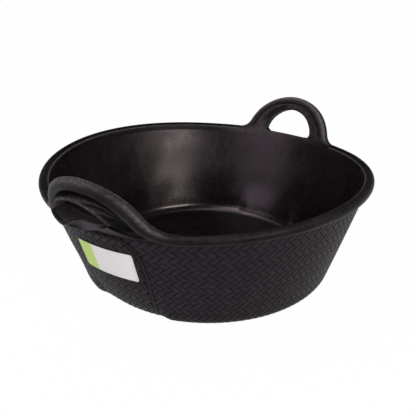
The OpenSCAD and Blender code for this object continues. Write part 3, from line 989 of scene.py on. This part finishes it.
def plait_tree():
    """Pads set in rows round the wall, or on a handle patch, and bent to its shape."""
    tree = bpy.data.node_groups.new("pressed_plait", "GeometryNodeTree")
    face = tree.interface
    face.new_socket("Sheet", in_out="INPUT", socket_type="NodeSocketGeometry")
    for name, kind in (
            ("Pad", "NodeSocketObject"), ("Finish", "NodeSocketMaterial"), ("Columns", "NodeSocketInt"),
            ("Rows", "NodeSocketInt"), ("First angle", "NodeSocketFloat"), ("First row", "NodeSocketFloat"),
            ("Lift", "NodeSocketFloat"), ("On patch", "NodeSocketFloat")):
        face.new_socket(name, in_out="INPUT", socket_type=kind)
    face.new_socket("Sheet", in_out="OUTPUT", socket_type="NodeSocketGeometry")
    net = Net(tree)
    given = net.node("NodeGroupInput")
    on_patch = given.to("On patch")

    # Rows and columns of the flat plait
    count = given.to("Columns") * given.to("Rows")
    points = net.node("GeometryNodePoints", None, {"Count": count})
    index = net.node("GeometryNodeInputIndex")
    column = (index / given.to("Rows")).math("FLOOR")
    row = index - column * given.to("Rows")
    odd = row.math("MODULO", 2.0)
    flat_x = (column + 0.5 * odd) * PLAIT_PITCH
    flat_y = row * -PLAIT_PITCH

    # Pads outside a patch stay on the wall, pads inside it stay on the patch
    angle = flat_x / PLAIT_R + given.to("First angle")
    near = angle - nearest_handle(angle)
    way = given.to("First row") - flat_y * PLAIT_SQUEEZE
    height = WALL_TOP - way * COS
    across = abs(near.sine() * (TOP_R - way * SIN))
    side = across - patch_side(height)
    over_x = (across - (PATCH_HALF - SHOULDER_R)).most(0.0)
    over_z = (height - SHOULDER_Z).most(0.0)
    shoulder = (over_x * over_x + over_z * over_z).root() - SHOULDER_R
    off = side.most(shoulder).most(PATCH_FOOT - height).most(height - PATCH_TOP)
    kept = either(on_patch, off < 2.0 - PATCH_BORDER, off > -6.0)
    place = net.node("ShaderNodeCombineXYZ", None, {0: flat_x, 1: flat_y})
    laid = net.node("GeometryNodeSetPosition", None, {"Geometry": points, "Position": place})
    turn = net.node("ShaderNodeCombineXYZ", None, {2: (0.5 - odd) * (math.pi / 2)})
    pad = net.node("GeometryNodeObjectInfo", None, {"Object": given.to("Pad")}).to("Geometry")
    set_out = net.node("GeometryNodeInstanceOnPoints", None, {
        "Points": laid, "Selection": kept > 0.5, "Instance": pad, "Rotation": turn})
    real = net.node("GeometryNodeRealizeInstances", None, {"Geometry": set_out})

    # Each point of a pad is carried from the flat plait to the wall
    spot = net.node("ShaderNodeSeparateXYZ", None, {0: net.node("GeometryNodeInputPosition")})
    x, y, h = spot.to("X"), spot.to("Y"), spot.to("Z")
    v = given.to("First row") - y * PLAIT_SQUEEZE
    top_way = (WALL_TOP - PATCH_TOP) / COS + 0.4
    beyond_top = (top_way + EDGE_SQUEEZE - v).most(0.0)
    v_held = v.most(top_way + EDGE_SQUEEZE) - squeezed(beyond_top)
    v = either(on_patch, v_held, v)
    on_corner = v > SLANT
    bend = (v - SLANT) / -CORNER_R - SLOPE
    normal_r = either(on_corner, bend.cosine(), COS)
    normal_z = either(on_corner, bend.sine(), -SIN)
    base_r = either(on_corner, CORNER_MID + CORNER_R * bend.cosine(), TOP_R - v * SIN)
    base_z = either(on_corner, CORNER_R + CORNER_R * bend.sine(), WALL_TOP - v * COS)
    lift = h + given.to("Lift")
    r = base_r + lift * normal_r
    z = base_z + lift * normal_z
    angle = x / PLAIT_R + given.to("First angle")
    nearest = nearest_handle(angle)
    aside = (angle - nearest).sine() * r
    up = (z - SHOULDER_Z).most(0.0).least(SHOULDER_R * 0.999)
    shoulder = PATCH_HALF - SHOULDER_R + (SHOULDER_R * SHOULDER_R - up * up).root()
    limit = patch_side(z).least(shoulder) - PATCH_BORDER
    beyond = (abs(aside) - limit).most(0.0)
    held = abs(aside).least(limit) + squeezed(beyond)
    held_angle = nearest + (held * aside.math("SIGN") / r).math("ARCSINE")
    angle = either(on_patch, held_angle, angle)
    bent = net.node("ShaderNodeCombineXYZ", None, {0: r * angle.cosine(), 1: r * angle.sine(), 2: z})
    shaped = net.node("GeometryNodeSetPosition", None, {"Geometry": real, "Position": bent})
    joined = net.node("GeometryNodeJoinGeometry", None, {0: shaped})
    tree.links.new(given.to("Sheet").socket, joined.socket.node.inputs[0])
    whole = net.node("GeometryNodeRealizeInstances", None, {"Geometry": joined})
    coated = net.node("GeometryNodeSetMaterial", None, {"Geometry": whole, "Material": given.to("Finish")})
    net.node("NodeGroupOutput", None, {0: coated})
    return tree


def plaited(node, form, relief_shade, tree, pad, finish, sizes):
    """A sheet with its pressed pads, as one plain mesh."""
    points, faces = form
    sheet = bpy.data.meshes.new(node + "_sheet")
    sheet.from_pydata(np.asarray(points).tolist(), [], faces)
    add_values(sheet, {"relief_shade": relief_shade})
    face_out(sheet)
    base = placed(node + "_look", sheet)
    laying = base.modifiers.new("pressed_plait", "NODES")
    laying.node_group = tree
    sockets = {item.name: item.identifier for item in tree.interface.items_tree if item.in_out == "INPUT"}
    laying[sockets["Pad"]] = pad
    laying[sockets["Finish"]] = finish
    for key, value in sizes.items():
        laying[sockets[key]] = value
    graph = bpy.context.evaluated_depsgraph_get()
    mesh = bpy.data.meshes.new_from_object(base.evaluated_get(graph))
    base.modifiers.remove(laying)
    base.data = mesh
    bpy.data.meshes.remove(sheet)
    mesh.name = node + "_look"
    settle(mesh, 38.0, False)
    dress(base, node)


# Handle patches, label and pieces with their solids' shapes

def patch_half(z):
    """Half the width of a handle patch at a height."""
    taper = np.clip((PATCH_TOP * 0.5 - z) / (PATCH_TOP * 0.5 - PATCH_FOOT), 0, 1)
    side = PATCH_HALF - (PATCH_HALF - PATCH_FOOT_HALF) * taper
    up = np.clip(z - SHOULDER_Z, 0, SHOULDER_R)
    return np.minimum(side, PATCH_HALF - SHOULDER_R + np.sqrt(SHOULDER_R ** 2 - up ** 2))


def patch_sheet(side):
    """The lapped panel below a handle: its sheet, with a soft raised lip at the edge."""
    first = (WALL_TOP - PATCH_TOP) / COS
    last = SLANT + 11.0
    rows = first + (last - first) * np.linspace(0, 1, 72) ** 1.15
    cols = np.sin(np.linspace(-1, 1, 41) * math.pi / 2)
    sunk = PATCH_T - PLAIT_DEPTH
    top = np.empty((len(rows), len(cols), 3))
    under = np.empty_like(top)
    relief_shade = np.empty((2, len(rows), len(cols)))
    for i, v in enumerate(rows):
        half = patch_half(down_wall(v, 0)[1])
        aside = half * cols
        from_edge = np.minimum(half - abs(aside), v - first)
        # Painted shade: under the pads the sheet is as dark as the grooves; its plain border is lighter
        relief_shade[:, i] = 0.85 * (1 - ramp((from_edge - PATCH_BORDER + 1.5) / 2.0))
        for grid, lift in ((top, sunk), (under, -0.3)):
            r, z = down_wall(v, -lift)
            lip = bell(from_edge, 0.0, 1.3) * 0.35 if lift > 0 else 0.0
            angle = np.arcsin(aside / r) - SET_ROUND
            grid[i, :, 0] = (r + lip * COS) * np.cos(angle) * side
            grid[i, :, 1] = (r + lip * COS) * np.sin(angle)
            grid[i, :, 2] = z - lip * SIN
    return slab(top, under), relief_shade.ravel()


def label_sheet():
    """The film on the left patch, bent to the wall."""
    rows = np.sin(np.linspace(-1, 1, 25) * math.pi / 2) * LABEL_HALF_H
    cols = np.linspace(-1, 1, 61)
    top = np.empty((len(rows), len(cols), 3))
    under = np.empty_like(top)
    flat = np.empty((len(rows), len(cols), 2))
    for i, y in enumerate(rows):
        cut = max(0.0, abs(y) - (LABEL_HALF_H - LABEL_R))
        half = LABEL_HALF_W - LABEL_R + math.sqrt(LABEL_R ** 2 - cut ** 2)
        x = cols * half
        out_y = LABEL_Y + x * math.cos(LABEL_TILT) - y * math.sin(LABEL_TILT) - 0.09 * y
        out_z = LABEL_Z + x * math.sin(LABEL_TILT) + y * math.cos(LABEL_TILT)
        dents = 0.12 * np.sin(x * 0.63 + y * 0.84) * np.sin(x * 0.63 - y * 0.84)
        for grid, lift in ((top, PATCH_T + 0.65 + dents), (under, PATCH_T + 0.3 + 0 * dents)):
            r = BASE_R + out_z * TAN + lift / COS
            angle = np.arcsin(out_y / r) - SET_ROUND
            grid[i, :, 0] = -r * np.cos(angle)
            grid[i, :, 1] = r * np.sin(angle)
            grid[i, :, 2] = out_z
        flat[i, :, 0] = x / (2 * LABEL_HALF_W) + 0.5
        flat[i, :, 1] = y / (2 * LABEL_HALF_H) + 0.5
    return slab(top, under), flat.reshape(-1, 2)


def map_film(label, flat):
    """The label's own flat map, the same on both of its faces."""
    film_map = label.data.uv_layers.new(name="film")
    corners = np.empty(len(label.data.loops), int)
    label.data.loops.foreach_get("vertex_index", corners)
    film_map.data.foreach_set("uv", np.concatenate([flat, flat])[corners].ravel())


def sagged_copy(node, finish):
    """A piece with its solid's own shape, sagged with the wall."""
    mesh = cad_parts[node].data.copy()
    mesh.name = node + "_look"
    work = bmesh.new()
    work.from_mesh(mesh)
    bmesh.ops.remove_doubles(work, verts=work.verts, dist=0.02 * MM)
    bmesh.ops.scale(work, vec=Vector((1 / MM, 1 / MM, 1 / MM)), verts=work.verts)
    work.to_mesh(mesh)
    work.free()
    mesh.materials.clear()
    mesh.materials.append(finish)
    settle(mesh, 40.0, False)
    dress(placed(node + "_look", mesh), node)


# The finishes of the tub
plait = plait_rubber()
liner = liner_rubber("liner_rubber", 1.0, 0.42)
bottom = liner_rubber("bottom_rubber", 0.9, 0.12)
# Painted light: the tongue plates take the liner's rubber ten times paler, for their lit look
plate = liner_rubber("plate_rubber", 10.0, 0.25)
rim = rim_rubber("rim_rubber", 0.09, 0.32)
welt = rim_rubber("welt_rubber", 0.035, 0.5)
sole = sole_rubber()
cord = cord_fabric()
rope = rope_fibre()
film = label_film()

# Wall and floor: plaited half sheets outside, smooth sheets inside, and the layers between
pad = plait_pad()
tree = plait_tree()
cover_section = wall_section(PLAIT_DEPTH, COVER_T, 12)
for name, first in (("rear_wall_cover", 0.0), ("front_wall_cover", math.pi)):
    rings = turned_round(cover_section, np.linspace(first, first + math.pi, 97))
    plain = (cover_section[:, 1] > WALL_TOP - PLAIN_TOP) | (cover_section[:, 1] < PLAIN_FOOT)
    # Painted shade: the sheet is dark where the pads cover it and lighter in the plain bands
    plaited(name, skin(rings, False), np.tile(0.8 * plain, len(rings)), tree, pad, plait, {
        "Columns": PLAIT_COLUMNS // 2, "Rows": 15, "First angle": first, "First row": 7.6, "Lift": 0.0,
        "On patch": 0.0})
liner_form, liner_values = liner_sheet()
piece("wall_liner_look", liner_form, liner, liner_values, 60.0)
piece("floor_liner_look", floor_sheet(), bottom, sharp=60.0)
sagged_copy("base_sole", sole)
sagged_copy("floor_cord_ply", cord)
sagged_copy("wall_cord_ply", cord)
sagged_copy("rim_rope", rope)

# Handle patches with their own plait, and the label on the left one
for name, side, middle in (
        ("right_handle_patch", 1.0, -SET_ROUND), ("left_handle_patch", -1.0, math.pi + SET_ROUND)):
    plaited(name, *patch_sheet(side), tree, pad, plait, {
        "Columns": 15, "Rows": 14, "First angle": middle - 7.0 * PLAIT_PITCH / PLAIT_R,
        "First row": 10.4, "Lift": PATCH_T, "On patch": 1.0})
label_form, label_flat = label_sheet()
map_film(piece("label_look", label_form, film, sharp=50.0), label_flat)

# Rim strips, paler beside the handle plates: painted light on their inner side
section, worn_and_sheened = rim_section()
right_end = sweep(RIGHT_HAND.front_root)[0] / BEAD_MID + SET_ROUND
left_end = sweep(LEFT_HAND.front_root)[0] / BEAD_MID + SET_ROUND
rear_end = END_ANGLE - SET_ROUND
for name, side, first, last, paled in (
        ("rear_rim_bead", 1.0, rear_end, rear_end, 0.45),
        ("front_rim_bead", -1.0, right_end, left_end, 0.15)):
    turns = np.linspace(first, math.pi - last, 161) * side
    rings = turned_round(section, turns)
    from_end = np.minimum(abs(turns - turns[0]), abs(turns - turns[-1]))
    by_plate = paled * (1 - ramp(from_end / 0.25))
    piece(name + "_look", skin(rings, False), rim, {
        "wear_and_sheen": np.tile(worn_and_sheened, len(turns)), "pale": np.outer(by_plate, section[:, 0] < LIP_MID)})

# Handles, each with its own shape
for part, make, finish, slot in (
        ("tongue", handle_tongue, plate, "liner_rubber"),
        ("roll", handle_roll, rim, "rim_rubber"),
        ("welt", handle_welt, welt, "rim_rubber")):
    form, values = make(RIGHT_HAND)
    piece("right_handle_" + part + "_look", form, finish, values)
    form, values = make(LEFT_HAND)
    piece("left_handle_" + part + "_look", other_side(form), finish, values)


# Studio
VIEW_TURN = math.radians(-53.85)


def studio(right, away, up):
    """A place in metres as the viewer sees it: to the right, away and up."""
    c = math.cos(VIEW_TURN)
    s = math.sin(VIEW_TURN)
    return Vector((right * c - away * s, right * s + away * c, up))


def add_camera():
    tilt = math.radians(24.03)
    roll = math.radians(1.07)
    away = 0.80523
    aim = Vector((0.00085, 0, 0.08316))
    photo_px = 416.0
    focus_px = 560.0
    right = Vector((1, 0, 0))
    up = Vector((0, math.sin(tilt), math.cos(tilt)))
    back = Vector((0, -math.cos(tilt), math.sin(tilt)))
    place = back * away + aim
    side = right * math.cos(roll) + up * math.sin(roll)
    head = up * math.cos(roll) - right * math.sin(roll)
    axes = [studio(*side), studio(*head), studio(*back), studio(*place)]
    camera = bpy.data.cameras.new("photo_camera")
    camera.sensor_width = 36.0
    camera.lens = focus_px / photo_px * camera.sensor_width
    camera.clip_start = 0.01
    camera.clip_end = 60.0
    obj = placed("photo_camera", camera)
    obj.matrix_world = Matrix([[*(a[i] for a in axes)] for i in range(3)] + [[0, 0, 0, 1]])
    bpy.context.scene.camera = obj


def add_softbox(name, place, aim, wide, high, power, tint=(1.0, 1.0, 1.0)):
    lamp = bpy.data.lights.new(name, "AREA")
    lamp.shape = "RECTANGLE"
    lamp.size = wide
    lamp.size_y = high
    lamp.energy = power
    lamp.color = tint
    obj = placed(name, lamp)
    obj.location = studio(*place)
    obj.rotation_euler = (studio(*aim) - obj.location).to_track_quat("-Z", "Y").to_euler()


def add_floor():
    mesh = bpy.data.meshes.new("floor")
    half = 14
    corners = [(-half, -half, 0), (half, -half, 0), (half, half, 0), (-half, half, 0)]
    mesh.from_pydata(corners, [], [(0, 1, 2, 3)])
    finish, net = new_finish("white_floor")
    rays = net.node("ShaderNodeLightPath")
    seen = rays.to("Is Camera Ray").most(rays.to("Is Glossy Ray")).most(rays.to("Is Transmission Ray"))
    matt = net.node("ShaderNodeBsdfDiffuse", None, {"Color": (0.85, 0.85, 0.85, 1.0)})
    glow = net.node("ShaderNodeEmission", None, {"Color": (1.0, 1.0, 1.0, 1.0), "Strength": 1.0})
    both = net.node("ShaderNodeMixShader", None, {0: seen * 0.985, 1: matt, 2: glow})
    net.node("ShaderNodeOutputMaterial", None, {"Surface": both})
    mesh.materials.append(finish)
    placed("floor", mesh)


def add_world():
    world = bpy.data.worlds.new("studio_air")
    world.use_nodes = True
    world.node_tree.nodes.clear()
    net = Net(world.node_tree)
    air = net.node("ShaderNodeBackground", None, {"Color": (1.0, 1.0, 1.0, 1.0), "Strength": 0.1})
    net.node("ShaderNodeOutputWorld", None, {"Surface": air})
    bpy.context.scene.world = world


add_camera()
add_floor()
add_world()
add_softbox("key_softbox", (1.25, -1.7, 1.2), (0.0, 0.0, 0.1), 1.1, 0.76, 37.0, (1.0, 0.98, 0.88))
add_softbox("left_softbox", (-1.5, -1.35, 0.95), (0.0, 0.0, 0.1), 1.7, 1.1, 9.6, (1.0, 0.93, 1.0))
add_softbox("high_softbox", (-0.95, -0.75, 2.1), (0.0, 0.0, 0.1), 1.2, 1.0, 14.0, (1.0, 0.94, 1.0))
add_softbox("top_softbox", (-0.5, 0.2, 2.0), (0.0, 0.0, 0.1), 1.8, 0.9, 13.0)
bpy.context.scene.view_settings.view_transform = "Standard"
